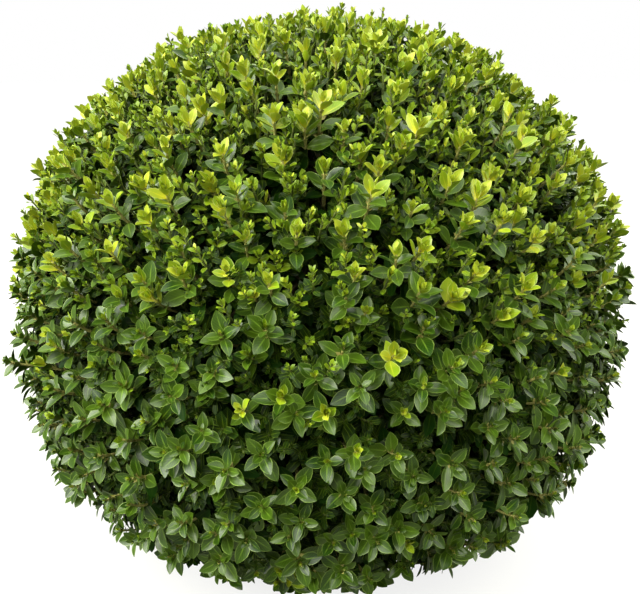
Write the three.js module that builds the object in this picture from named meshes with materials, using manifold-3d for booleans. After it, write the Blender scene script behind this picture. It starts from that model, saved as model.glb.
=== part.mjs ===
// Box topiary ball: a box shrub clipped to a slightly flattened ball, rooted in the ground.
// Millimetres, +Z up. The origin is the middle of the flat cut under the main stem, at ground level.
// A short main stem forks into boughs, and the foliage is one clipped mass: a dense core with
// leafy shoots that stand out of it, grown from one stem by a seeded rule.
import * as THREE from "three";
import { mergeVertices } from "three/addons/utils/BufferGeometryUtils.js";
import Module from "manifold-3d";

const wasm = await Module();
wasm.setup();

// ---- driving dimensions ----
const BALL_WIDTH = 632; // over the furthest leaf tips
const BALL_TOP = 551; // height of the highest leaf tip above the ground
const BALL_MIDDLE = 260; // height of the widest level
const GROUND_CLEARANCE = 4; // under the lowest leaf tips
const UPPER_ROUNDNESS = 2.05; // exponent of the upper half's outline, 2 being an ellipse
const LOWER_ROUNDNESS = 2.75; // the lower half is fuller and flatter underneath
const JOIN_GAP = 0.3; // between pieces that meet
const SLIVER = 0.1; // thinner slips left by the joining are smoothed away

const CORE_SHARE = 0.89; // size of the dense core within the outline
const CORE_DETAIL = 4; // subdivisions of each icosahedron edge
const CORE_RELIEF = 5; // how far the core's surface rises and falls
const RECESS_RADIUS = 88; // of the bare space round the stem, at its mouth
const RECESS_TOP = 104;

const STEM_HEIGHT = 66; // to the fork
const STEM_RADIUS = 19;
const STEM_TAPER = 0.16; // share of its width that the stem loses up to the fork
const STEM_HEAD = 4; // how far the head rounds in
const ROOT_FLARE = 0.75; // how much wider the foot is than the stem, as a share
const FLARE_HEIGHT = 14; // over which the flare dies away
const ROOT_RIDGES = { count: 5, depth: 0.14, height: 16 };
const BOUGHS = 5;
const BOUGH_RADIUS = [8.5, 6]; // at its foot and at its tip
const BOUGH_FOOT = { out: 14, up: 48 }; // out from the middle, and up from the ground
const BOUGH_ELBOW = { out: 57, up: 74 };
const BOUGH_TIP = { out: 92, up: 118 };
const BOUGH_UNEVEN = { turn: 0.12, rise: 5 }; // radians round the stem, and mm up or down

const LIMBS = 24; // inside the core, from the mass's own stem
const LIMB_SHARE = 0.55; // how far out in the outline the limbs fork
const SHOOTS = 134; // leafy shoots that stand out of the core
const SHOOT_REACH = [0.97, 1]; // how far out in the outline their leaves get
const SHOOT_RADIUS = 3;
const SHOOT_LENGTH = 62; // from its knee inside the core to its tip
const SKY_PULL = [0.45, 0.85]; // how strongly shoots turn up, on the upper side and underneath
const BARE_UNDERSIDE = 130; // no shoots this near the middle underneath
const LEAF_LENGTH = 52;
const LEAF_WIDTH = 31;
const LEAF_THICKNESS = 2.6;
const LEAF_FOLD = 0.28; // how far the edges rise over the midrib, for their distance from it
const LEAF_DROOP = 0.12; // how far the tip curves down, for the leaf's length
const LEAF_PAIRS = [
  // back: from the shoot's tip, in mm; lean: degrees from the shoot; size: of a full leaf
  { back: 5, lean: 44, size: 0.8 },
  { back: 12, lean: 72, size: 1 },
];
const SEED = 20;

const UP = new THREE.Vector3(0, 0, 1);
const MIDDLE = new THREE.Vector3(0, 0, BALL_MIDDLE);
const GOLDEN_ANGLE = Math.PI * (3 - Math.sqrt(5));

// ---- the seeded rule ----
// A stream of numbers from 0 to 1 that is the same on every run.
function randomStream(seed) {
  let state = seed;
  return () => {
    state = (state + 0x6d2b79f5) | 0;
    let mixed = Math.imul(state ^ (state >>> 15), 1 | state);
    mixed = (mixed + Math.imul(mixed ^ (mixed >>> 7), 61 | mixed)) ^ mixed;
    return ((mixed ^ (mixed >>> 14)) >>> 0) / 4294967296;
  };
}

const random = randomStream(SEED);
const between = (low, high) => low + (high - low) * random();
const numbers = (count) => Array.from({ length: count }, (_, i) => i);

// How far out in the ball's outline a point is: 0 at its middle and 1 on the outline.
function shareOfOutline(point) {
  const height = point.z - BALL_MIDDLE;
  const upper = height >= 0;
  const power = upper ? UPPER_ROUNDNESS : LOWER_ROUNDNESS;
  const half = upper ? BALL_TOP - BALL_MIDDLE : BALL_MIDDLE - GROUND_CLEARANCE;
  const across = Math.hypot(point.x, point.y) / (BALL_WIDTH / 2);
  return (across ** power + (Math.abs(height) / half) ** power) ** (1 / power);
}

// The point at a share of the outline, in a direction from the ball's middle.
function inOutline(direction, share) {
  const reach = shareOfOutline(MIDDLE.clone().add(direction));
  return MIDDLE.clone().addScaledVector(direction, share / reach);
}

// The outward direction of the outline's surface at a point, from small steps each way.
function outward(point) {
  const step = 0.5;
  const rise = (axis) => {
    const ahead = point.clone().addScaledVector(axis, step);
    const behind = point.clone().addScaledVector(axis, -step);
    return shareOfOutline(ahead) - shareOfOutline(behind);
  };
  const axes = [new THREE.Vector3(1, 0, 0), new THREE.Vector3(0, 1, 0), UP];
  return new THREE.Vector3(...axes.map(rise)).normalize();
}

// Even directions over a sphere, turned on by the golden angle from one to the next.
function evenDirections(count) {
  return numbers(count).map((i) => {
    const z = 1 - (2 * (i + 0.5)) / count;
    const flat = Math.sqrt(1 - z * z);
    return new THREE.Vector3(flat * Math.cos(i * GOLDEN_ANGLE), flat * Math.sin(i * GOLDEN_ANGLE), z);
  });
}

// The way a shoot grows: outward, and turned up to the sky, more so underneath.
function growth(point) {
  const out = outward(point);
  const under = THREE.MathUtils.smoothstep(-out.z, 0, 0.7);
  const pull = THREE.MathUtils.lerp(...SKY_PULL, under);
  return out.clone().addScaledVector(UP, pull).normalize();
}

// ---- solids ----
// A closed three.js geometry as a manifold-3d solid.
function solid(geometry) {
  geometry.deleteAttribute("normal");
  geometry.deleteAttribute("uv");
  const merged = mergeVertices(geometry, 1e-4);
  const vertProperties = merged.attributes.position.array;
  const triVerts = new Uint32Array(merged.index.array);
  return new wasm.Manifold(new wasm.Mesh({ numProp: 3, vertProperties, triVerts }));
}

// The largest piece of a manifold-3d solid as a three.js geometry, with any scrap or sealed hollow left out.
function geometryOf(joined) {
  const pieces = joined.decompose().sort((a, b) => b.volume() - a.volume());
  const mesh = pieces[0].getMesh();
  const geometry = new THREE.BufferGeometry();
  geometry.setAttribute("position", new THREE.BufferAttribute(mesh.vertProperties, 3));
  geometry.setIndex(new THREE.BufferAttribute(mesh.triVerts, 1));
  return geometry;
}

// Moves each vertex of a geometry to where a function puts it.
function reshape(geometry, place) {
  const positions = geometry.attributes.position;
  const point = new THREE.Vector3();
  for (let i = 0; i < positions.count; i += 1) {
    point.fromBufferAttribute(positions, i);
    positions.setXYZ(i, ...place(point).toArray());
  }
  return geometry;
}

// A limb that tapers along a curve, with flat ends, its sides turned about the curve by an angle.
function limb(curve, footRadius, tipRadius, sides, steps, turn = 0) {
  const across = new THREE.Vector3();
  const over = new THREE.Vector3();
  const rod = new THREE.CylinderGeometry(tipRadius, footRadius, 1, sides, steps).rotateY(turn);
  return reshape(rod, (point) => {
    const along = curve.getTangentAt(THREE.MathUtils.clamp(point.y + 0.5, 0, 1));
    across.crossVectors(Math.abs(along.z) > 0.95 ? new THREE.Vector3(1, 0, 0) : UP, along).normalize();
    over.crossVectors(along, across);
    const centre = curve.getPointAt(THREE.MathUtils.clamp(point.y + 0.5, 0, 1));
    return centre.addScaledVector(across, point.x).addScaledVector(over, -point.z);
  });
}

const straight = (from, to) => new THREE.LineCurve3(from, to);

// A leaf of eight faces: a flat spindle from its root, folded up along its midrib, with its tip curved down.
function leaf(root, along, face, size) {
  const across = new THREE.Vector3().crossVectors(face, along).normalize();
  const over = new THREE.Vector3().crossVectors(along, across);
  const length = LEAF_LENGTH * size;
  const blade = new THREE.SphereGeometry(1, 4, 2);
  return reshape(blade, (point) => {
    const end = (1 - point.x) / 2;
    const side = (point.z * LEAF_WIDTH * size) / 2;
    const out = length * (end + 0.2 * end * (1 - end));
    const up = Math.abs(side) * LEAF_FOLD - length * LEAF_DROOP * end ** 2 + (point.y * LEAF_THICKNESS) / 2;
    return root.clone().addScaledVector(along, out).addScaledVector(across, side).addScaledVector(over, up);
  });
}

// ---- the stem and the boughs ----
// The main stem's radius at a height: it tapers, and the root flare dies away upward.
function stemRadius(height) {
  const flare = ROOT_FLARE * Math.exp(-height / FLARE_HEIGHT);
  return STEM_RADIUS * (1 - STEM_TAPER * (height / STEM_HEIGHT) + flare);
}

// The main stem turned about its axis, with root ridges at its foot and a rounded head.
// It can be made larger all round by an extra, to cut its neighbours clear of it.
function mainStem(extra) {
  const levels = [0, 5, 11, 19, 30, 44, 58, STEM_HEIGHT - STEM_HEAD / 2];
  const profile = [new THREE.Vector2(0, 0)];
  for (const height of levels) profile.push(new THREE.Vector2(stemRadius(height) + extra, height));
  profile.push(new THREE.Vector2(stemRadius(STEM_HEIGHT) - STEM_HEAD + extra, STEM_HEIGHT + extra));
  profile.push(new THREE.Vector2(0, STEM_HEIGHT + extra));
  const turned = new THREE.LatheGeometry(profile, 20).rotateX(Math.PI / 2);
  return reshape(turned, (point) => {
    const round = Math.atan2(point.y, point.x);
    const depth = ROOT_RIDGES.depth * Math.exp(-point.z / ROOT_RIDGES.height);
    const wider = 1 + depth * Math.cos(ROOT_RIDGES.count * round);
    return point.set(point.x * wider, point.y * wider, point.z);
  });
}

// A bough from the stem's head, out and up in a bow, with its end a little way inside the core.
function boughCurve(number, extra) {
  const round = (number / BOUGHS) * 2 * Math.PI + BOUGH_UNEVEN.turn * Math.sin(number * GOLDEN_ANGLE);
  const out = new THREE.Vector3(Math.cos(round), Math.sin(round), 0);
  const [foot, elbow, tip] = [BOUGH_FOOT, BOUGH_ELBOW, BOUGH_TIP].map((place) =>
    out.clone().multiplyScalar(place.out).setZ(place.up),
  );
  tip.z += BOUGH_UNEVEN.rise * Math.cos(number * GOLDEN_ANGLE);
  tip.addScaledVector(tip.clone().sub(elbow).normalize(), extra);
  return new THREE.QuadraticBezierCurve3(foot, elbow, tip);
}

function bough(number, extra) {
  const [foot, tip] = BOUGH_RADIUS;
  return limb(boughCurve(number, extra), foot + extra, tip + extra, 8, 7);
}

// ---- the foliage ----
// The dense core: a smaller copy of the outline with a rough surface, bare underneath round the stem.
function core() {
  const ball = mergeVertices(new THREE.IcosahedronGeometry(1, CORE_DETAIL).deleteAttribute("uv"));
  const rough = reshape(ball, (point) => {
    const direction = point.clone().normalize();
    const placed = inOutline(direction, CORE_SHARE);
    return placed.addScaledVector(direction, between(-CORE_RELIEF, CORE_RELIEF));
  });
  return solid(rough).subtract(recess());
}

function recess() {
  const profile = [
    new THREE.Vector2(0, -10),
    new THREE.Vector2(RECESS_RADIUS + 22, -10),
    new THREE.Vector2(RECESS_RADIUS, 40),
    new THREE.Vector2(RECESS_RADIUS * 0.72, RECESS_TOP - 22),
    new THREE.Vector2(RECESS_RADIUS * 0.3, RECESS_TOP),
    new THREE.Vector2(0, RECESS_TOP),
  ];
  return solid(new THREE.LatheGeometry(profile, 18).rotateX(Math.PI / 2));
}

// The mass's own stem, from just above the main stem's head, and the limbs that fork from it.
function innerLimbs() {
  const foot = new THREE.Vector3(0, 0, STEM_HEIGHT + JOIN_GAP);
  const made = [limb(straight(foot, MIDDLE), STEM_RADIUS * 0.5, STEM_RADIUS * 0.3, 6, 2)];
  const forks = evenDirections(LIMBS).map((direction) => inOutline(direction, LIMB_SHARE));
  for (const fork of forks) made.push(limb(straight(MIDDLE, fork), SHOOT_RADIUS * 2, SHOOT_RADIUS, 3, 1));
  return { made, forks };
}

// A shoot's leaves: pairs along it, each crosswise to the next, out of the middles of the twig's four faces.
function leavesOn(tip, along, turn) {
  const side = new THREE.Vector3().crossVectors(UP, along).normalize();
  return LEAF_PAIRS.flatMap((pair, number) => {
    const node = tip.clone().addScaledVector(along, -pair.back);
    const lean = THREE.MathUtils.degToRad(pair.lean);
    return [0, 2].map((opposite) => {
      const round = turn + ((number + opposite) * Math.PI) / 2;
      const out = side.clone().applyAxisAngle(along, round);
      const points = along.clone().multiplyScalar(Math.cos(lean)).addScaledVector(out, Math.sin(lean));
      return leaf(node, points, along, pair.size);
    });
  });
}

// How far out in the outline a geometry gets.
function reachOf(geometry) {
  const positions = geometry.attributes.position;
  const point = new THREE.Vector3();
  const shares = numbers(positions.count).map((i) => shareOfOutline(point.fromBufferAttribute(positions, i)));
  return Math.max(...shares);
}

// One leafy shoot out of the core, fed by the nearest limb and slid along until its leaves reach their place.
function shoot(direction, forks) {
  const turn = between(0, Math.PI);
  const reach = between(...SHOOT_REACH);
  const start = inOutline(direction, CORE_SHARE);
  const grows = growth(start);
  const furthest = Math.max(...leavesOn(start, grows, turn).map(reachOf));
  const tip = inOutline(direction, CORE_SHARE + reach - furthest);
  const knee = tip.clone().addScaledVector(grows, -SHOOT_LENGTH);
  const nearest = forks.reduce((a, b) => (a.distanceTo(knee) < b.distanceTo(knee) ? a : b));
  return [
    limb(straight(nearest, knee), SHOOT_RADIUS, SHOOT_RADIUS, 3, 1),
    limb(straight(knee, tip), SHOOT_RADIUS, SHOOT_RADIUS, 4, 1, turn + Math.PI / 4),
    ...leavesOn(tip, grows, turn).filter((blade) => reachOf(blade) <= 1),
  ];
}

// Even directions over the ball, less those round the stem underneath.
function shootDirections() {
  const bare = (direction) => {
    const under = inOutline(direction, 1);
    return under.z < BALL_MIDDLE / 2 && Math.hypot(under.x, under.y) < BARE_UNDERSIDE;
  };
  return evenDirections(SHOOTS).filter((direction) => !bare(direction));
}

function foliageBall() {
  const { made, forks } = innerLimbs();
  for (const direction of shootDirections()) made.push(...shoot(direction, forks));
  const joined = made.map(solid).reduce((whole, piece) => whole.add(piece), core());
  const cleared = numbers(BOUGHS).reduce((whole, n) => whole.subtract(solid(bough(n, JOIN_GAP))), joined);
  return geometryOf(cleared.simplify(SLIVER));
}

// ---- the model ----
const bark = new THREE.MeshStandardMaterial({ color: 0x7c6d50, roughness: 0.9, metalness: 0 });
const leafGreen = new THREE.MeshStandardMaterial({ color: 0x5a7a24, roughness: 0.55, metalness: 0 });

function named(name, geometry, material) {
  const mesh = new THREE.Mesh(geometry, material);
  mesh.name = name;
  return mesh;
}

const plant = new THREE.Group();
plant.add(named("main_stem", mainStem(0), bark));
for (const n of numbers(BOUGHS)) {
  const clear = solid(bough(n, 0)).subtract(solid(mainStem(JOIN_GAP)));
  plant.add(named(`bough_${n + 1}`, geometryOf(clear), bark));
}
plant.add(named("foliage_ball", foliageBall(), leafGreen));

export default plant;
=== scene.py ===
"""A box shrub clipped to a ball: stem, boughs, branches, twigs, shoots and leaves, in metres, +Z up.

Each shoot grows outward and up to the sky from an even place on the ball's outline. It carries pairs of
leaves, each pair crosswise to the next, small and fresh at the tip and large, dark and spread lower down.
"""

import math

import bpy
import numpy as np
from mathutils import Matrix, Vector


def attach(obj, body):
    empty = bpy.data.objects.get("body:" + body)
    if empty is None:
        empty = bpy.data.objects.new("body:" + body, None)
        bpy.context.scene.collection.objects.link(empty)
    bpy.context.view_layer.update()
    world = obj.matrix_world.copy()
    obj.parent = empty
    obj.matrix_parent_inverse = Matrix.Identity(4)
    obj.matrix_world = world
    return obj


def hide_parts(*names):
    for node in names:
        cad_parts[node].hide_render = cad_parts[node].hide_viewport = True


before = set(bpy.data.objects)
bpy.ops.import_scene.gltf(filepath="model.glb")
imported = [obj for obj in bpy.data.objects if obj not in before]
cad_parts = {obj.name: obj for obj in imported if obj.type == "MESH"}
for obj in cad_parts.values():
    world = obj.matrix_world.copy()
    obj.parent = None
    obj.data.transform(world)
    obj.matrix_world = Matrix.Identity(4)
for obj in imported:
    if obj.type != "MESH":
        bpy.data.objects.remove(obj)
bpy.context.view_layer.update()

# ---- the ball's outline ----
BALL_HALF = 0.316  # half its width over the furthest leaf tips
BALL_TOP = 0.551
BALL_MIDDLE = 0.260  # height of the widest level
GROUND_CLEARANCE = 0.004
UPPER_ROUNDNESS = 2.05
LOWER_ROUNDNESS = 2.75
SPACE = 1.02  # the share of the outline past which no leaf goes
BARE_UNDERSIDE = 0.115  # no shoots this near the middle underneath

# ---- stem and boughs ----
STEM_HEIGHT = 0.066
STEM_RADIUS = 0.019
STEM_TAPER = 0.16
STEM_RELIEF = 0.045  # how deep its bark is, over its radius
STEM_HEAD = 0.004  # height of the rounded head
HEAD_DROP = np.array([0.5, 0.15, 0.0])  # its rings, down from the top and in, over its height
HEAD_INSET = np.array([0.2, 0.6, 1.4])
ROOT_FLARE = 0.75
FLARE_HEIGHT = 0.014
ROOT_RIDGES = 5
RIDGE_DEPTH = 0.14
RIDGE_HEIGHT = 0.016
BOUGHS = 5
BOUGH_FOOT = (0.014, 0.048)  # out from the middle, and up from the ground
BOUGH_ELBOW = (0.057, 0.074)
BOUGH_TIP = (0.092, 0.118)
BOUGH_TURN = 0.12
BOUGH_RISE = 0.005

# ---- branching inside the ball: how many, and how far out in the outline each order ends ----
LIMBS = 24
LIMB_SHARE = 0.55
LIMB_DROP = 0.1  # how far under its own end a limb leaves the leader
LIMB_SAG = 0.02
LIMB_WANDER = 0.006
LOW_FORK = 0.04  # limbs that end this far under the widest level grow from the boughs
BRANCHES = 190
BRANCH_SHARE = 0.76
BRANCH_JITTER = 0.04
BRANCH_WANDER = 0.006
TWIG_WANDER = 0.004
LEADER_SEAT = 0.01  # how deep the leader starts in the stem
LEADER_RISE = 0.02  # how far over the widest level it ends
LEADER_BOW = (0.006, 0.004, 0.0)

# ---- thickness at foot and tip, and the rings and sides of each kind of limb ----
BOUGH_RADIUS = (0.0085, 0.006)
LEADER_RADIUS = (0.0115, 0.006)
LIMB_RADIUS = (0.0052, 0.003)
BRANCH_RADIUS = (0.003, 0.0018)
TWIG_RADIUS = (0.0017, 0.0015)
SHOOT_RADIUS = (0.0014, 0.0009)
LIMB_RELIEF = 0.06
STEM_STEPS, STEM_SIDES = 40, 72
BOUGH_STEPS, BOUGH_SIDES = 26, 28
LEADER_STEPS, LEADER_SIDES = 24, 24
LIMB_STEPS, LIMB_SIDES = 16, 12
BRANCH_STEPS, BRANCH_SIDES = 10, 7
TWIG_STEPS, TWIG_SIDES = 3, 3

# ---- the layers of shoots ----
# reach: where the tip leaves end, as a share of the outline. wander: off the rule's direction.
# fresh: pairs of fresh leaves at rest, and how many more in full growth. vigour: scales its leaves.
# sink: how much deeper a shoot ends where nothing is growing. deep: it has shaded leaves only, in a painted
# shade colour.
OUTER = dict(count=1100, reach=(0.95, 0.99), wander=0.15, fresh=(0.8, 4.4), vigour=(0.86, 1.18))
SMALL = dict(count=4200, reach=(0.915, 0.985), wander=0.35, fresh=(0.6, 2.6), vigour=(0.40, 0.66), sink=0.052)
INNER = dict(count=1350, reach=(0.865, 0.945), wander=0.25, fresh=(0.6, 2.4), vigour=(0.65, 1.05))
DEEP = dict(count=2000, reach=(0.60, 0.84), wander=0.35, fresh=(0.0, 0.0), vigour=(0.95, 1.4), deep=True)

SHOOT_LENGTH = 0.052
SHOOT_JITTER = 0.022
SHOOT_SPREAD = (0.85, 1.12)  # scales how far its leaves lean
SHOOT_STRETCH = (0.88, 1.18)  # scales how far apart its pairs are
CLUSTER_REACH = 0.0072  # how far the tip leaves stand past the shoot's own tip
LOWEST_STEM = 0.010
TALL_SHARE = 0.22  # of the shoots, those that stand out of the clipped face
TALL_EXTRA = 0.012
SKY_PULL = (0.95, 0.70, 0.56, 0.84, 0.86)  # how strongly shoots turn up where the outline faces
SKY_PULL_AT = (-0.9, -0.5, -0.1, 0.3, 1.0)  # down, aside and up: the rise of its outward direction
WANDER_LIMIT = 1.6
GROWING = 0.27  # growth at the widest level, from 0 at rest to 1
GROWING_RISE = 1.9  # how much more it is at the top
GROWING_LOWEST = -0.16  # the height, as a share of the upper half, under which it is even
GROWING_SPREAD = 0.24
FRESH_SPREAD = 0.6

# ---- leaves, in pairs from a shoot's tip back along it: back, length, and lean from the shoot ----
# the first row of each is a resting shoot's, the second that of one in full growth
PAIR_BACK = np.array(
    [
        [0.0000, 0.0004, 0.0010, 0.0020, 0.0037, 0.0062, 0.0098, 0.0150, 0.0225],
        [0.0000, 0.0009, 0.0020, 0.0038, 0.0070, 0.0122, 0.0190, 0.0265, 0.0340],
    ]
)
PAIR_LENGTH = np.array(
    [
        [0.0034, 0.0044, 0.0054, 0.0074, 0.0138, 0.0178, 0.0196, 0.0202, 0.0190],
        [0.0060, 0.0086, 0.0120, 0.0142, 0.0156, 0.0174, 0.0197, 0.0207, 0.0196],
    ]
)
PAIR_LEAN = np.radians([[12, 24, 36, 46, 52, 57, 63, 70, 80], [10, 19, 28, 36, 43, 50, 58, 66, 77]])
PAIRS = (PAIR_BACK, PAIR_LENGTH, PAIR_LEAN)
BUD_BACK = np.array([[0.0022, 0.0050, 0.0088, 0.0150], [0.0110, 0.0160, 0.0225, 0.0300]])
BUD_LENGTH = np.array([[0.0058, 0.0060, 0.0060, 0.0058], [0.0058, 0.0052, 0.0058, 0.0060]])
BUD_LEAN = np.radians([[20, 32, 42, 50], [34, 42, 38, 46]])
BUDS = (BUD_BACK, BUD_LENGTH, BUD_LEAN)
# the kinds of leaf: three ages, and SHADED, whose leaves get a painted shade colour
FRESH, YOUNG, MATURE, SHADED = range(4)
SLIMNESS = np.array([0.51, 0.52, 0.53, 0.54])  # width over length, of each age of leaf
OLD_PAIR = 8  # from this pair on, leaves are shaded ones
TURN_SPREAD = 0.14  # how far a leaf's turn round the shoot, lean and roll stray
LEAN_SPREAD = 0.12
ROLL_SPREAD = 0.28
LENGTH_SPREAD = (0.86, 1.12)
WIDTH_SPREAD = (0.90, 1.12)
YOUNG_FOLD = (0.25, 0.6)  # least and most rise of an edge, over half the width
OLD_FOLD = (0.2, 0.5)
YOUNG_CURL = (0.10, 0.09)  # mean and spread of the tip's rise, over the length
OLD_CURL = (-0.08, 0.12)
LEAVES_IN_A_PIECE = 8000

# ---- a leaf's finish: places across it run from 0 at the rib to 0.45, along it from 0 to 1 ----
TINTS = 8  # a leaf's own tint is one of 8 by 8
TINT_HALF = 0.45
TINT_START = 0.02
TINT_LENGTH = 0.96
RIB_EDGE = (0.06, 0.015)  # each fade runs from none at the first place to full at the second
RIB_FADE = (1.1, 0.2)
RIB_STRENGTH = 0.8
VEINS = 8.0
VEIN_SLANT = 6.0
VEIN_WIDTH = 0.16
VEIN_STRENGTH = 0.16
BASE_FADE = (0.60, 0.0)
# the pale rim is partly the margin's own paler colour and partly painted highlight, light catching and
# shining through the thin edge
RIM_EDGE = (0.385, 0.44)
RIM_STRENGTH = 0.7

# ---- the bark's finish ----
CRACK_STRETCH = 0.3  # its cracks are long: their scale along the limb, over that across it
CRACK_DETAIL = 5.0
CRACK_ROUGHNESS = 0.65
CRACK_FADE = (0.35, 0.65)
CRACK_BUMP = 0.6
BARK_ROUGHNESS = 0.85

# ---- floor, light and camera ----
WHITE = (1.0, 1.0, 1.0, 1.0)
WARM = (1.0, 0.99, 0.90)
FLOOR_HALF = 25.0
FLOOR_COLOUR = (0.14, 0.14, 0.12, 1)
FLOOR_ROUGHNESS = 0.9
FLOOR_GLOW = 0.82  # what the camera sees of it besides the light that it gets
SKY_LOW = 0.06  # how bright the sky is at the horizon, and straight up
SKY_HIGH = 3.4
LAMP_AIM = (0.0, 0.0, 0.3)
LAMPS = (  # name, place, width and power
    ("front", (-0.9, -1.7, 1.4), 1.6, 36.0),
    ("left", (-2.1, -0.75, 1.6), 2.0, 135.0),
    ("right", (1.9, -0.6, 1.6), 2.0, 60.0),
    ("back", (0.7, 2.1, 1.5), 1.8, 50.0),
)
CAMERA_HEIGHT_ANGLE = math.radians(14)
CAMERA_DISTANCE = 0.976
CAMERA_AIM = (0.0, 0.0, 0.257)
LONG_SIDE = 640  # of the frame, in pixels
FOCAL = 929  # in the same pixels
SENSOR = 36.0  # width in millimetres

UP = np.array([0.0, 0.0, 1.0])
ACROSS = np.array([1.0, 0.0, 0.0])
MIDDLE = np.array([0.0, 0.0, BALL_MIDDLE])
GOLDEN_ANGLE = math.pi * (3 - math.sqrt(5))
STEEP = 0.8  # a limb whose rise over its length is more than this counts as upright
TINY = 1e-6
ASKEW = 1e-4  # tilts UP enough that it never lies along a shoot

rng = np.random.default_rng(20)


# ---- the outline and the rule of growth ----
def unit(vectors):
    """Vectors over their own lengths."""
    return vectors / np.linalg.norm(vectors, axis=-1, keepdims=True)


def outline_half(points):
    """Rise above the middle, and the half-height and roundness of the half of the ball each point is in."""
    rise = points[..., 2] - BALL_MIDDLE
    half = np.where(rise >= 0, BALL_TOP - BALL_MIDDLE, BALL_MIDDLE - GROUND_CLEARANCE)
    return rise, half, np.where(rise >= 0, UPPER_ROUNDNESS, LOWER_ROUNDNESS)


def share_of_outline(points):
    """A superellipse of revolution: the p-th root of (out / half-width)^p + (rise / half-height)^p."""
    rise, half, power = outline_half(points)
    out = np.hypot(points[..., 0], points[..., 1]) / BALL_HALF
    return (out**power + (np.abs(rise) / half) ** power) ** (1 / power)


def in_outline(directions, share):
    """The points at a share of the outline, in directions from the middle: the share scales with distance."""
    reach = share_of_outline(MIDDLE + directions)
    return MIDDLE + directions * (share / reach)[..., None]


def outward(points):
    """The outline's outward direction: the gradient of the sum under share_of_outline's root."""
    rise, half, power = outline_half(points)
    out = np.maximum(np.hypot(points[..., 0], points[..., 1]), TINY)
    flat = (out / BALL_HALF) ** (power - 1) / BALL_HALF
    steep = (np.abs(rise) / half) ** (power - 1) / half * np.sign(rise)
    x, y = points[..., 0] / out, points[..., 1] / out
    return unit(np.stack([flat * x, flat * y, steep], axis=-1))


def even_directions(count, jitter=0.0):
    """Directions at even steps of height, turned by the golden angle, each moved by a seeded amount."""
    step = np.arange(count)
    z = 1 - (2 * step + 1) / count
    flat = np.sqrt(1 - z * z)
    directions = np.stack([flat * np.cos(step * GOLDEN_ANGLE), flat * np.sin(step * GOLDEN_ANGLE), z], -1)
    return unit(directions + rng.normal(0, jitter, (count, 3)))


def growth(points, wander):
    """Outward, plus a pull up to the sky weakest near the widest level, plus a limited seeded wander."""
    out = outward(points)
    pull = np.interp(out[..., 2:], SKY_PULL_AT, SKY_PULL)
    limit = WANDER_LIMIT * wander
    return unit(out + pull * UP + rng.normal(0, wander, out.shape).clip(-limit, limit))


# ---- meshes from arrays ----
def mesh_piece(name, points, faces, material, stands_for, slot, tint_map=None):
    """One mesh object at the origin from an array of points and an array of triangles, smooth shaded."""
    mesh = bpy.data.meshes.new(name)
    points, faces = points.reshape(-1, 3), faces.reshape(-1, 3)
    mesh.vertices.add(len(points))
    mesh.vertices.foreach_set("co", points.astype(np.float32).ravel())
    mesh.loops.add(faces.size)
    mesh.loops.foreach_set("vertex_index", faces.astype(np.int32).ravel())
    mesh.polygons.add(len(faces))
    mesh.polygons.foreach_set("loop_start", np.arange(0, faces.size, 3, dtype=np.int32))
    mesh.polygons.foreach_set("use_smooth", np.ones(len(faces), dtype=bool))
    if tint_map is not None:
        layer = mesh.uv_layers.new(name="OFBake")
        layer.data.foreach_set("uv", tint_map.reshape(-1, 2)[faces.ravel()].astype(np.float32).ravel())
    mesh.update(calc_edges=True)
    mesh.validate()
    mesh.materials.append(material)
    piece = bpy.data.objects.new(name, mesh)
    bpy.context.collection.objects.link(piece)
    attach(piece, "root")
    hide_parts(*stands_for)
    return piece


def on_bend(t, foot, knee, tip):
    """(1-t)^2 foot + 2t(1-t) knee + t^2 tip."""
    return (1 - t) ** 2 * foot + 2 * t * (1 - t) * knee + t**2 * tip


def bowed(starts, ends, bow, steps):
    """Paths from starts to ends on one bend each, its knee half way plus the bow."""
    t = np.linspace(0, 1, steps)[None, :, None]
    knees = (starts + ends) / 2 + bow
    return on_bend(t, starts[:, None], knees[:, None], ends[:, None])


def tapering(first, last, count, steps, power=1):
    """Radii that taper from first to last as t^power, the same on every path."""
    return np.broadcast_to(first + (last - first) * np.linspace(0, 1, steps) ** power, (count, steps))


def bark_ridges(angle, t):
    """Long uneven ridges: three sines round the limb that lean along it, their sum from -1 to 1."""
    broad = 0.5 * np.sin(4 * angle + 3 * np.sin(9 * t))
    middle = 0.3 * np.sin(9 * angle - 13 * t + 2 * np.sin(17 * t))
    return broad + middle + 0.2 * np.sin(17 * angle + 29 * t)


def rings_along(paths, radii, sides, relief=0.0):
    """Rings square to the paths: centre + radius (1 + relief x ridges) (across cos a + over sin a)."""
    along = unit(np.gradient(paths, axis=1))
    lengthwise = unit(paths[:, -1:] - paths[:, :1])
    aside = np.where(np.abs(lengthwise[..., 2:]) > STEEP, ACROSS, UP)
    across = unit(np.cross(aside, along))
    over = np.cross(along, across)
    angle = np.linspace(0, 2 * np.pi, sides, endpoint=False)
    ring = across[:, :, None] * np.cos(angle)[:, None] + over[:, :, None] * np.sin(angle)[:, None]
    t = np.linspace(0, 1, paths.shape[1])[:, None]
    wide = radii[:, :, None] * (1 + relief * bark_ridges(angle[None, :], t)[None])
    return paths[:, :, None] + ring * wide[..., None]


def closed_tubes(rings):
    """Points and triangles of tubes from rings (tubes, steps, sides, 3), each end closed by a fan."""
    tubes, steps, sides = rings.shape[:3]
    ends = rings[:, [0, -1]].mean(axis=2)
    points = np.concatenate([rings.reshape(tubes, -1, 3), ends], axis=1)
    step, side = np.meshgrid(np.arange(steps - 1), np.arange(sides), indexing="ij")
    here, there = step * sides + side, step * sides + (side + 1) % sides
    walls = np.stack([here, there, there + sides, here, there + sides, here + sides], -1).reshape(-1, 3)
    ring, after = np.arange(sides), (np.arange(sides) + 1) % sides
    last = (steps - 1) * sides
    foot = np.stack([after, ring, np.full(sides, steps * sides)], -1)
    head = np.stack([ring + last, after + last, np.full(sides, steps * sides + 1)], -1)
    one = np.concatenate([walls, foot, head])
    return points, one[None] + (np.arange(tubes) * points.shape[1])[:, None, None]


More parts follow.
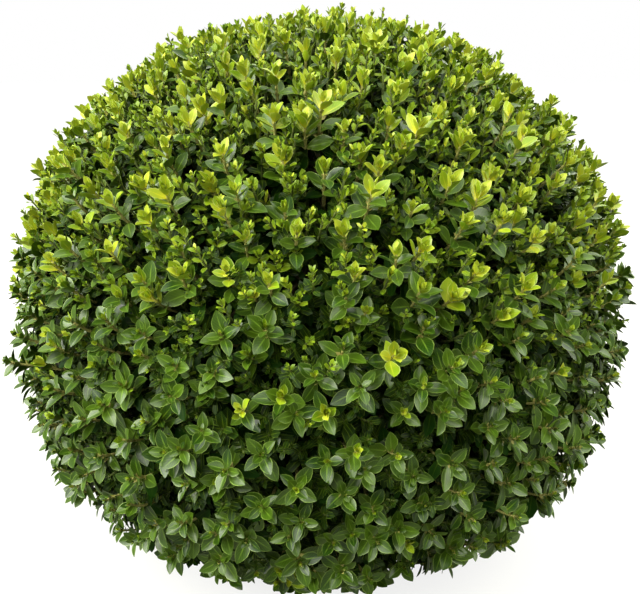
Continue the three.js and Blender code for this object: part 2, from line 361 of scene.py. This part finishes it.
def nearest(points, candidates):
    """For each point, the closest of the candidates."""
    apart = np.linalg.norm(points[:, None] - candidates[None], axis=-1)
    return candidates[apart.argmin(axis=1)]


# ---- materials ----
def node_material(name):
    """A new material with its nodes, and its shader."""
    material = bpy.data.materials.new(name)
    material.use_nodes = True
    return material, material.node_tree, material.node_tree.nodes["Principled BSDF"]


def worked(tree, operation, *values):
    """The output of a Math node that works on sockets and plain numbers."""
    node = tree.nodes.new("ShaderNodeMath")
    node.operation = operation
    for socket, value in zip(node.inputs, values):
        if isinstance(value, bpy.types.NodeSocket):
            tree.links.new(value, socket)
        else:
            socket.default_value = value
    return node.outputs[0]


def blended(tree, share, first, second):
    """The output of a colour Mix node: first where share is 0, second where it is 1."""
    node = tree.nodes.new("ShaderNodeMix")
    node.data_type = "RGBA"
    for socket, value in zip((node.inputs["Factor"], node.inputs[6], node.inputs[7]), (share, first, second)):
        if isinstance(value, bpy.types.NodeSocket):
            tree.links.new(value, socket)
        else:
            socket.default_value = value if isinstance(value, float) else (*value, 1)
    return node.outputs[2]


def faded(tree, value, start, end):
    """A smooth fade: 0 where value is start, 1 where it is end."""
    node = tree.nodes.new("ShaderNodeMapRange")
    node.interpolation_type = "SMOOTHSTEP"
    tree.links.new(value, node.inputs["Value"])
    node.inputs["From Min"].default_value = start
    node.inputs["From Max"].default_value = end
    return node.outputs["Result"]


def painted(tree, colour, where, strength, paint):
    """The colour with paint over it: its share is where x strength."""
    return blended(tree, worked(tree, "MULTIPLY", where, strength), colour, paint)


def leaf_material(name, dark, light, rib, rim, glow, roughness, sheen):
    """A leaf's own tint between dark and light, with a paler midrib, side veins and rim.

    The rib fades to the tip, and its colour also spreads over the leaf's base, by the share glow. The tint
    map holds 8 by 8 cells: which cell a leaf lies in gives its tint, and its place in the cell gives across
    and along the leaf.
    """
    material, tree, shader = node_material(name)
    place = tree.nodes.new("ShaderNodeUVMap")
    place.uv_map = "OFBake"
    split = tree.nodes.new("ShaderNodeSeparateXYZ")
    tree.links.new(place.outputs["UV"], split.inputs[0])
    u = worked(tree, "MULTIPLY", split.outputs["X"], float(TINTS))
    v = worked(tree, "MULTIPLY", split.outputs["Y"], float(TINTS))
    cell = tree.nodes.new("ShaderNodeCombineXYZ")
    tree.links.new(worked(tree, "FLOOR", u), cell.inputs["X"])
    tree.links.new(worked(tree, "FLOOR", v), cell.inputs["Y"])
    tint = tree.nodes.new("ShaderNodeTexWhiteNoise")
    tree.links.new(cell.outputs[0], tint.inputs["Vector"])
    across = worked(tree, "ABSOLUTE", worked(tree, "SUBTRACT", worked(tree, "FRACT", u), 0.5))
    along = worked(tree, "FRACT", v)
    near_rib = worked(tree, "MULTIPLY", faded(tree, across, *RIB_EDGE), faded(tree, along, *RIB_FADE))
    forward = worked(tree, "MULTIPLY", along, VEINS)
    ray = worked(tree, "SUBTRACT", forward, worked(tree, "MULTIPLY", across, VEIN_SLANT))
    on_vein = faded(tree, worked(tree, "PINGPONG", ray, 0.5), VEIN_WIDTH, 0.0)
    colour = blended(tree, tint.outputs["Value"], dark, light)
    colour = painted(tree, colour, near_rib, RIB_STRENGTH, rib)
    colour = painted(tree, colour, on_vein, VEIN_STRENGTH, rib)
    colour = painted(tree, colour, faded(tree, along, *BASE_FADE), glow, rib)
    # pale rim: partly the margin's own colour, partly painted highlight of light catching and shining through
    # the edge
    colour = painted(tree, colour, faded(tree, across, *RIM_EDGE), RIM_STRENGTH, rim)
    tree.links.new(colour, shader.inputs["Base Color"])
    shader.inputs["Roughness"].default_value = roughness
    shader.inputs["Specular IOR Level"].default_value = sheen
    return material


def bark_material(name, dark, light, scale, depth):
    """Bark: blotches between two browns, with long fine cracks that also stand as bump."""
    material, tree, shader = node_material(name)
    place = tree.nodes.new("ShaderNodeTexCoord")
    stretch = tree.nodes.new("ShaderNodeMapping")
    stretch.inputs["Scale"].default_value = (scale, scale, scale * CRACK_STRETCH)
    tree.links.new(place.outputs["Object"], stretch.inputs["Vector"])
    cracks = tree.nodes.new("ShaderNodeTexNoise")
    cracks.inputs["Scale"].default_value = 1.0
    cracks.inputs["Detail"].default_value = CRACK_DETAIL
    cracks.inputs["Roughness"].default_value = CRACK_ROUGHNESS
    tree.links.new(stretch.outputs["Vector"], cracks.inputs["Vector"])
    colour = blended(tree, faded(tree, cracks.outputs["Fac"], *CRACK_FADE), dark, light)
    tree.links.new(colour, shader.inputs["Base Color"])
    bump = tree.nodes.new("ShaderNodeBump")
    bump.inputs["Strength"].default_value = CRACK_BUMP
    bump.inputs["Distance"].default_value = depth
    tree.links.new(cracks.outputs["Fac"], bump.inputs["Height"])
    tree.links.new(bump.outputs["Normal"], shader.inputs["Normal"])
    shader.inputs["Roughness"].default_value = BARK_ROUGHNESS
    return material


# ---- leaves ----
def leaf_pattern(rows, widest, fullness, folded=True):
    """A leaf's points as (along, side): root, rows of edge, midrib, edge, and tip; and its triangles.

    Half its width at a share t along it is sin(pi t^k)^fullness, with k such that it is widest at its share.
    A leaf that isn't folded has no points on its midrib.
    """
    rows = np.array(rows)
    sides = [-1, 0, 1] if folded else [-1, 1]
    wide = len(sides)
    along = np.concatenate([[0], np.repeat(rows, wide), [1]])
    side = np.concatenate([[0], np.tile(sides, len(rows)), [0]])
    power = math.log(0.5) / math.log(widest)
    spread = np.sin(np.pi * np.clip(along, TINY, 1) ** power).clip(0) ** fullness
    low = np.arange(1, wide * (len(rows) - 1), wide)[:, None, None]
    column = np.arange(wide - 1)[:, None]
    bands = np.concatenate([column + [0, 1, wide + 1], column + [0, wide + 1, wide]])
    tip = wide * len(rows) + 1
    root_faces = np.concatenate([0 * column, column + 2, column + 1], axis=1)
    tip_faces = np.concatenate([column + tip - wide, column + tip - wide + 1, 0 * column + tip], axis=1)
    return along, side, spread, np.concatenate([(low + bands[None]).reshape(-1, 3), root_faces, tip_faces])


def leaf_points(leaves, along, side, spread):
    """root + length t along + half-width s across + (fold |s| half-width + curl length t^2) up."""
    half = leaves["width"][:, None] / 2 * spread * side
    out = leaves["length"][:, None] * along
    fold = leaves["fold"][:, None] * np.abs(half)
    curl = leaves["curl"][:, None] * leaves["length"][:, None] * along**2
    across = np.cross(leaves["along"], leaves["up"])
    return (
        leaves["root"][:, None]
        + out[..., None] * leaves["along"][:, None]
        + half[..., None] * across[:, None]
        + (fold + curl)[..., None] * leaves["up"][:, None]
    )


def leaf_tints(count, along, side):
    """Each leaf's seeded cell in the tint map, with the leaf's points laid out flat inside it."""
    cell = rng.integers(0, TINTS, (count, 1, 2))
    inside = np.stack([0.5 + TINT_HALF * side, TINT_START + TINT_LENGTH * along], -1)
    return (cell + inside[None]) / TINTS


def along_shoot(shoots, back):
    """Places back from the shoots' tips, and the directions there, on the bend from foot to tip."""
    t = 1 - back[..., None] / SHOOT_LENGTH
    foot, knee, tip = (shoots[key][:, None] for key in ("foot", "knee", "tip"))
    return on_bend(t, foot, knee, tip), unit((1 - t) * (knee - foot) + t * (tip - knee))


def between(rows, share):
    """For each shoot, the values its share of the way from the resting row to the growing row."""
    return rows[0] + (rows[1] - rows[0]) * share[:, None]


def leaves_on(shoots, tables, first_pair=0, young_pairs=0.0):
    """Leaves in pairs along shoots: each leans from the shoot, and its face looks to the shoot's tip.

    After the fresh pairs come one young pair, and young_pairs x growth more.
    """
    growing = shoots["growing"]
    backs, lengths, leans = (between(rows[:, first_pair:], growing) for rows in tables)
    count, pairs = backs.shape
    shape = (count, pairs, 2)
    root, axis = along_shoot(shoots, backs * shoots["stretch"][:, None])
    root, axis = root[:, :, None], axis[:, :, None]
    number = (first_pair + np.arange(pairs))[None, :, None]
    quarter = number + 2 * np.arange(2)[None, None]
    turn = shoots["turn"][:, None, None] + quarter * np.pi / 2 + rng.normal(0, TURN_SPREAD, shape)
    side = unit(np.cross(UP + ASKEW, axis))
    over = np.cross(axis, side)
    out = side * np.cos(turn)[..., None] + over * np.sin(turn)[..., None]
    lean = leans[:, :, None] * shoots["spread"][:, None, None] + rng.normal(0, LEAN_SPREAD, shape)
    cos, sin = np.cos(lean)[..., None], np.sin(lean)[..., None]
    along, up = axis * cos + out * sin, axis * sin - out * cos
    roll = rng.normal(0, ROLL_SPREAD, shape)[..., None]
    up = up * np.cos(roll) + np.cross(along, up) * np.sin(roll)
    length = lengths[:, :, None] * shoots["vigour"][:, None, None] * rng.uniform(*LENGTH_SPREAD, shape)
    fresh = shoots["fresh"][:, None, None]
    number = np.broadcast_to(number, shape)
    # leaves of deep shoots and of the last pairs take the painted shade colour
    in_shade = shoots["deep"][:, None, None] | (number >= OLD_PAIR)
    not_mature = fresh + 1 + young_pairs * growing[:, None, None]
    age = np.select([in_shade, number < fresh, number < not_mature], [SHADED, FRESH, YOUNG], MATURE)
    young = age <= YOUNG
    leaves = {
        "root": np.broadcast_to(root, (*shape, 3)),
        "along": along,
        "up": up,
        "length": length,
        "width": length * SLIMNESS[age] * rng.uniform(*WIDTH_SPREAD, shape),
        "fold": np.where(young, rng.uniform(*YOUNG_FOLD, shape), rng.uniform(*OLD_FOLD, shape)),
        "curl": np.where(young, rng.normal(*YOUNG_CURL, shape), rng.normal(*OLD_CURL, shape)),
        "age": age,
    }
    return {key: value.reshape(-1, *value.shape[3:]) for key, value in leaves.items()}


def kept_in_space(leaves, chosen):
    """Those chosen whose tips and middles lie within the outline and above the ground."""
    tip = leaves["root"] + leaves["along"] * leaves["length"][:, None]
    middle = (tip + leaves["root"]) / 2
    inside = (share_of_outline(tip) < SPACE) & (share_of_outline(middle) < SPACE)
    kept = chosen & inside & (tip[:, 2] > GROUND_CLEARANCE)
    return {key: value[kept] for key, value in leaves.items()}


def leaf_pieces(name, leaves, pattern, material):
    """Leaves of one kind as meshes of at most LEAVES_IN_A_PIECE leaves each."""
    along, side, spread, triangles = pattern
    for number, first in enumerate(range(0, len(leaves["length"]), LEAVES_IN_A_PIECE)):
        some = {key: value[first : first + LEAVES_IN_A_PIECE] for key, value in leaves.items()}
        count = len(some["length"])
        points = leaf_points(some, along, side, spread)
        faces = triangles[None] + (np.arange(count) * len(along))[:, None, None]
        tints = leaf_tints(count, along, side)
        mesh_piece(f"{name}_{number + 1}", points, faces, material, ["foliage_ball"], "foliage", tints)


def foliage(place, leaves, materials, patterns):
    """All the leaves of one place in the ball, a set of pieces for each age."""
    # the shaded kind is no age: its leaves take a painted shade colour
    for age, kind in enumerate(("fresh", "young", "mature", "shaded")):
        chosen = kept_in_space(leaves, leaves["age"] == age)
        leaf_pieces(f"{place}_{kind}_leaves", chosen, patterns[age], materials[age])


# ---- shoots ----
def grown_shoots(count, reach, wander, fresh, vigour, sink=0.0, deep=False):
    """Shoots at even places: the tip leaves at their reach in the outline, and more growth higher up.

    A shoot leaves the branch straight out from the ball's middle and turns to its own direction of growth.
    Its fresh pairs number fresh[0] plus fresh[1] x growth, and it ends deeper by sink x (1 - growth).
    """
    directions = even_directions(count, jitter=SHOOT_JITTER)
    surface = in_outline(directions, np.ones(count))
    under = (surface[:, 2] < BALL_MIDDLE / 2) & (np.hypot(surface[:, 0], surface[:, 1]) < BARE_UNDERSIDE)
    directions, surface = directions[~under], surface[~under]
    count = len(directions)
    axis = growth(surface, wander)
    vigour = rng.uniform(*vigour, count)
    share = rng.uniform(*reach, count)
    height = (surface[:, 2] - BALL_MIDDLE) / (BALL_TOP - BALL_MIDDLE)
    rule = GROWING + GROWING_RISE * np.maximum(height, GROWING_LOWEST)
    growing = (rule + rng.normal(0, GROWING_SPREAD, count)).clip(0, 1)
    share -= sink * (1 - growing)
    extra = TALL_EXTRA * rng.random(count) * (rng.random(count) < TALL_SHARE)
    tip = in_outline(directions, share) + axis * (extra - CLUSTER_REACH * vigour)[:, None]
    knee = tip - axis * SHOOT_LENGTH / 2
    knee[:, 2] = np.maximum(knee[:, 2], LOWEST_STEM)
    return {
        "tip": tip,
        "knee": knee,
        "foot": knee - directions * SHOOT_LENGTH / 2,
        "turn": rng.uniform(0, np.pi, count),
        "vigour": vigour,
        "spread": rng.uniform(*SHOOT_SPREAD, count),
        "stretch": rng.uniform(*SHOOT_STRETCH, count),
        "growing": growing,
        "fresh": np.floor(fresh[0] + fresh[1] * growing + rng.normal(0, FRESH_SPREAD, count)),
        "deep": np.full(count, deep),
    }


def shoot_stems(name, shoots, bark, steps=3, sides=3):
    """The stems of one layer of shoots: slim tubes along their bends."""
    count = len(shoots["tip"])
    stems, _ = along_shoot(shoots, np.broadcast_to(np.linspace(SHOOT_LENGTH, 0, steps), (count, steps)))
    rings = rings_along(stems, tapering(*SHOOT_RADIUS, count, steps, power=2), sides)
    mesh_piece(f"{name}_shoots", *closed_tubes(rings), bark, ["foliage_ball"], "bark")


def shoot_twigs(name, shoots, branch_tips, bark):
    """The twigs that carry one layer of shoots, each from the branch tip nearest to its shoot."""
    feet = shoots["foot"]
    twigs = bowed(nearest(feet, branch_tips), feet, rng.normal(0, TWIG_WANDER, feet.shape), TWIG_STEPS)
    rings = rings_along(twigs, tapering(*TWIG_RADIUS, len(feet), TWIG_STEPS), TWIG_SIDES)
    mesh_piece(f"{name}_twigs", *closed_tubes(rings), bark, ["foliage_ball"], "bark")


# ---- stem, boughs and limbs ----
def stem_rings(sides):
    """The stem: taper plus a root flare that dies away upward, ridged at the foot, its head rounded in."""
    below_head = np.linspace(0, STEM_HEIGHT - STEM_HEAD, STEM_STEPS)
    height = np.concatenate([below_head, STEM_HEIGHT - STEM_HEAD * HEAD_DROP])
    inset = np.concatenate([np.zeros(STEM_STEPS), STEM_HEAD * HEAD_INSET])
    flare = ROOT_FLARE * np.exp(-height / FLARE_HEIGHT)
    radius = STEM_RADIUS * (1 - STEM_TAPER * height / STEM_HEIGHT + flare) - inset
    angle = np.linspace(0, 2 * np.pi, sides, endpoint=False)
    ridges = RIDGE_DEPTH * np.exp(-height / RIDGE_HEIGHT)[:, None] * np.cos(ROOT_RIDGES * angle)[None]
    relief = STEM_RELIEF * bark_ridges(angle[None], (height / STEM_HEIGHT)[:, None])
    wide = radius[:, None] * (1 + ridges + relief)
    up = np.broadcast_to(height[:, None], wide.shape)
    return np.stack([wide * np.cos(angle), wide * np.sin(angle), up], -1)[None]


def bough_paths(steps):
    """Each bough's bend from foot over elbow to tip, evenly round the stem but for a small turn."""
    number = np.arange(BOUGHS)
    turned = number / BOUGHS * 2 * np.pi + BOUGH_TURN * np.sin(number * GOLDEN_ANGLE)
    out = np.stack([np.cos(turned), np.sin(turned), 0 * turned], -1)
    foot, elbow, tip = (out * place[0] + UP * place[1] for place in (BOUGH_FOOT, BOUGH_ELBOW, BOUGH_TIP))
    tip[:, 2] += BOUGH_RISE * np.cos(number * GOLDEN_ANGLE)
    t = np.linspace(0, 1, steps)[None, :, None]
    return on_bend(t, foot[:, None], elbow[:, None], tip[:, None])


def stem_and_boughs(bark):
    """The stem, and each bough as its own piece; the ends of the boughs."""
    mesh_piece("stem_bark", *closed_tubes(stem_rings(STEM_SIDES)), bark, ["main_stem"], "bark")
    paths = bough_paths(BOUGH_STEPS)
    rings = rings_along(paths, tapering(*BOUGH_RADIUS, BOUGHS, BOUGH_STEPS), BOUGH_SIDES, LIMB_RELIEF)
    for number in range(BOUGHS):
        one = rings[number : number + 1]
        mesh_piece(f"bough_bark_{number + 1}", *closed_tubes(one), bark, [f"bough_{number + 1}"], "bark")
    return paths[:, -1]


def leader_and_limbs(bark, bough_tips):
    """The leader on the stem, and limbs from it and from the boughs; the ends of the limbs."""
    forks = in_outline(even_directions(LIMBS), np.full(LIMBS, LIMB_SHARE))
    height = np.clip(forks[:, 2] - LIMB_DROP, STEM_HEIGHT, BALL_MIDDLE)
    low = forks[:, 2] < BALL_MIDDLE - LOW_FORK
    starts = np.where(low[:, None], nearest(forks, bough_tips), UP * height[:, None])
    leader_foot = UP[None] * (STEM_HEIGHT - LEADER_SEAT)
    leader_path = bowed(leader_foot, MIDDLE[None] + UP * LEADER_RISE, np.array([LEADER_BOW]), LEADER_STEPS)
    limb_bow = UP * -LIMB_SAG + rng.normal(0, LIMB_WANDER, (LIMBS, 3))
    limb_paths = bowed(starts, forks, limb_bow, LIMB_STEPS)
    leader_radii = tapering(*LEADER_RADIUS, 1, LEADER_STEPS)
    limb_radii = tapering(*LIMB_RADIUS, LIMBS, LIMB_STEPS)
    leader_rings = rings_along(leader_path, leader_radii, LEADER_SIDES, LIMB_RELIEF)
    limb_rings = rings_along(limb_paths, limb_radii, LIMB_SIDES, LIMB_RELIEF)
    mesh_piece("leader_bark", *closed_tubes(leader_rings), bark, ["foliage_ball"], "bark")
    mesh_piece("limb_bark", *closed_tubes(limb_rings), bark, ["foliage_ball"], "bark")
    return forks


def branches_from(forks, bark):
    """Branches, each from the limb end nearest to its own; the ends of the branches."""
    tips = in_outline(even_directions(BRANCHES, jitter=BRANCH_JITTER), np.full(BRANCHES, BRANCH_SHARE))
    paths = bowed(nearest(tips, forks), tips, rng.normal(0, BRANCH_WANDER, (BRANCHES, 3)), BRANCH_STEPS)
    rings = rings_along(paths, tapering(*BRANCH_RADIUS, BRANCHES, BRANCH_STEPS), BRANCH_SIDES)
    mesh_piece("branch_bark", *closed_tubes(rings), bark, ["foliage_ball"], "bark")
    return tips


# ---- floor, light and camera ----
def pale_floor():
    """A wide floor that looks nearly white and sends little light up into the leaves."""
    mesh = bpy.data.meshes.new("floor")
    corners = [(x * FLOOR_HALF, y * FLOOR_HALF, 0) for x, y in ((-1, -1), (1, -1), (1, 1), (-1, 1))]
    mesh.from_pydata(corners, [], [(0, 1, 2, 3)])
    floor = bpy.data.objects.new("floor", mesh)
    bpy.context.collection.objects.link(floor)
    material, tree, shader = node_material("pale_floor")
    shader.inputs["Base Color"].default_value = FLOOR_COLOUR
    shader.inputs["Roughness"].default_value = FLOOR_ROUGHNESS
    shader.inputs["Emission Color"].default_value = WHITE
    seen = tree.nodes.new("ShaderNodeLightPath")
    glow = worked(tree, "MULTIPLY", seen.outputs["Is Camera Ray"], FLOOR_GLOW)
    tree.links.new(glow, shader.inputs["Emission Strength"])
    mesh.materials.append(material)


def studio_sky():
    """A sky that lights by low + (high - low) x height^2, in front of a plain white backdrop."""
    world = bpy.data.worlds.new("studio")
    world.use_nodes = True
    tree = world.node_tree
    sky = tree.nodes["Background"]
    sky.inputs["Color"].default_value = (*WARM, 1.0)
    place = tree.nodes.new("ShaderNodeTexCoord")
    split = tree.nodes.new("ShaderNodeSeparateXYZ")
    tree.links.new(place.outputs["Generated"], split.inputs[0])
    above = worked(tree, "MAXIMUM", split.outputs["Z"], 0.0)
    strength = tree.nodes.new("ShaderNodeMapRange")
    tree.links.new(worked(tree, "POWER", above, 2.0), strength.inputs["Value"])
    strength.inputs["To Min"].default_value = SKY_LOW
    strength.inputs["To Max"].default_value = SKY_HIGH
    tree.links.new(strength.outputs["Result"], sky.inputs["Strength"])
    backdrop = tree.nodes.new("ShaderNodeBackground")
    backdrop.inputs["Color"].default_value = WHITE
    seen = tree.nodes.new("ShaderNodeLightPath")
    either = tree.nodes.new("ShaderNodeMixShader")
    tree.links.new(seen.outputs["Is Camera Ray"], either.inputs[0])
    tree.links.new(sky.outputs[0], either.inputs[1])
    tree.links.new(backdrop.outputs[0], either.inputs[2])
    tree.links.new(either.outputs[0], tree.nodes["World Output"].inputs["Surface"])
    bpy.context.scene.world = world


def soft_light(name, place, size, power):
    """A square soft light at a place, turned to the ball."""
    light = bpy.data.lights.new(name, "AREA")
    light.size = size
    light.energy = power
    light.color = WARM
    lamp = bpy.data.objects.new(name, light)
    lamp.location = place
    lamp.rotation_euler = (Vector(LAMP_AIM) - Vector(place)).to_track_quat("-Z", "Y").to_euler()
    bpy.context.collection.objects.link(lamp)


def camera_in_front():
    """The camera before the ball's front, above it by its height angle."""
    lens = bpy.data.cameras.new("camera")
    lens.sensor_width = SENSOR
    lens.lens = SENSOR * FOCAL / LONG_SIDE
    camera = bpy.data.objects.new("camera", lens)
    back = Vector((0, -math.cos(CAMERA_HEIGHT_ANGLE), math.sin(CAMERA_HEIGHT_ANGLE)))
    camera.location = Vector(CAMERA_AIM) + back * CAMERA_DISTANCE
    camera.rotation_euler = (-back).to_track_quat("-Z", "Y").to_euler()
    bpy.context.collection.objects.link(camera)
    bpy.context.scene.camera = camera


# ---- colours ----
# glow is the rib colour's share at the leaf's base, rim a pale margin that is partly painted highlight, and
# sheen how strong its gloss is
fresh_leaf = leaf_material(
    "fresh_leaf", dark=(0.17, 0.27, 0.005), light=(0.36, 0.43, 0.030),
    rib=(0.62, 0.57, 0.018), rim=(0.58, 0.64, 0.25), glow=0.75, roughness=0.38, sheen=0.35,
)
young_leaf = leaf_material(
    "young_leaf", dark=(0.09, 0.18, 0.002), light=(0.25, 0.36, 0.012),
    rib=(0.46, 0.50, 0.030), rim=(0.46, 0.56, 0.18), glow=0.6, roughness=0.36, sheen=0.35,
)
bud_leaf = leaf_material(
    "bud_leaf", dark=(0.20, 0.20, 0.035), light=(0.42, 0.40, 0.13),
    rib=(0.44, 0.42, 0.10), rim=(0.50, 0.50, 0.22), glow=0.4, roughness=0.5, sheen=0.2,
)
mature_leaf = leaf_material(
    "mature_leaf", dark=(0.009, 0.034, 0.001), light=(0.046, 0.094, 0.003),
    rib=(0.16, 0.28, 0.025), rim=(0.22, 0.33, 0.06), glow=0.35, roughness=0.31, sheen=0.37,
)
green_leaf = leaf_material(
    "green_leaf", dark=(0.050, 0.112, 0.002), light=(0.165, 0.255, 0.008),
    rib=(0.34, 0.42, 0.020), rim=(0.34, 0.44, 0.10), glow=0.5, roughness=0.40, sheen=0.25,
)
# painted shade: a much darker copy of the mature leaf colour, for the mature leaves of the small and inner
# shoots inside the ball
inner_shaded_leaf = leaf_material(
    "inner_shaded_leaf", dark=(0.002, 0.011, 0.0003), light=(0.013, 0.037, 0.0014),
    rib=(0.12, 0.20, 0.01), rim=(0.18, 0.28, 0.03), glow=0.3, roughness=0.45, sheen=0.15,
)
# painted shade: a near-black copy of the leaf colour, for the deep leaves and the lowest pairs of every shoot
shaded_leaf = leaf_material(
    "shaded_leaf", dark=(0.001, 0.011, 0.0002), light=(0.007, 0.031, 0.0008),
    rib=(0.03, 0.06, 0.004), rim=(0.04, 0.08, 0.008), glow=0.3, roughness=0.5, sheen=0.05,
)
old_bark = bark_material("old_bark", (0.08, 0.06, 0.035), (0.24, 0.19, 0.13), 260.0, 0.0012)
# darker than the old bark: partly the twigs' own colour, partly painted shade of the ball's inside
twig_bark = bark_material("twig_bark", (0.03, 0.026, 0.008), (0.09, 0.07, 0.025), 420.0, 0.0003)
green_stem = bark_material("green_stem", (0.16, 0.16, 0.03), (0.36, 0.34, 0.10), 500.0, 0.0002)
# painted shade: a darker copy of the green stem colour, for the stems of the small and inner shoots inside
# the ball
shaded_stem = bark_material("shaded_stem", (0.035, 0.055, 0.006), (0.09, 0.12, 0.012), 500.0, 0.0002)

# ---- the plant, from the stem out to its leaves ----
bough_tips = stem_and_boughs(old_bark)
forks = leader_and_limbs(old_bark, bough_tips)
branch_tips = branches_from(forks, twig_bark)
outer = grown_shoots(**OUTER)
small = grown_shoots(**SMALL)
inner = grown_shoots(**INNER)
deep = grown_shoots(**DEEP)
shoot_stems("outer", outer, green_stem, steps=7, sides=4)
shoot_stems("small", small, shaded_stem)
shoot_stems("inner", inner, shaded_stem)
shoot_stems("deep", deep, twig_bark)
shoot_twigs("outer", outer, branch_tips, twig_bark)
shoot_twigs("inner", inner, branch_tips, twig_bark)

LONG_PATTERN = leaf_pattern([0.10, 0.27, 0.46, 0.65, 0.82, 0.94], widest=0.54, fullness=0.84)
ROUND_PATTERN = leaf_pattern([0.16, 0.42, 0.68, 0.89], widest=0.56, fullness=0.78)
PLAIN_PATTERN = leaf_pattern([0.22, 0.52, 0.84], widest=0.54, fullness=0.80)
SMALL_PATTERN = leaf_pattern([0.34, 0.76], widest=0.57, fullness=0.80)
TINY_PATTERN = leaf_pattern([0.34, 0.76], widest=0.57, fullness=0.80, folded=False)
BUD_PATTERN = leaf_pattern([0.55], widest=0.55, fullness=0.8)
outer_patterns = (ROUND_PATTERN, LONG_PATTERN, LONG_PATTERN, PLAIN_PATTERN)
# painted shade: the lower set's mature leaves, and the shaded leaves of both sets, are much darker copies of
# the leaf colour
outer_finish = (fresh_leaf, young_leaf, mature_leaf, shaded_leaf)
lower_finish = (fresh_leaf, green_leaf, inner_shaded_leaf, shaded_leaf)
foliage("outer", leaves_on(outer, PAIRS), outer_finish, outer_patterns)
small_leaves = leaves_on(small, PAIRS, first_pair=2, young_pairs=2.5)
foliage("small", small_leaves, lower_finish, (TINY_PATTERN,) * 4)
foliage("inner", leaves_on(inner, PAIRS, first_pair=3), lower_finish, (SMALL_PATTERN,) * 4)
deep_leaves = leaves_on(deep, PAIRS, first_pair=5)
deep_leaves = kept_in_space(deep_leaves, deep_leaves["age"] == SHADED)
leaf_pieces("deep_leaves", deep_leaves, SMALL_PATTERN, shaded_leaf)
bud_leaves = leaves_on(outer, BUDS)
bud_leaves = kept_in_space(bud_leaves, bud_leaves["age"] < SHADED)
leaf_pieces("bud_leaves", bud_leaves, BUD_PATTERN, bud_leaf)

# ---- the scene round it ----
pale_floor()
studio_sky()
for lamp in LAMPS:
    soft_light(*lamp)
camera_in_front()
bpy.context.scene.view_settings.view_transform = "Standard"
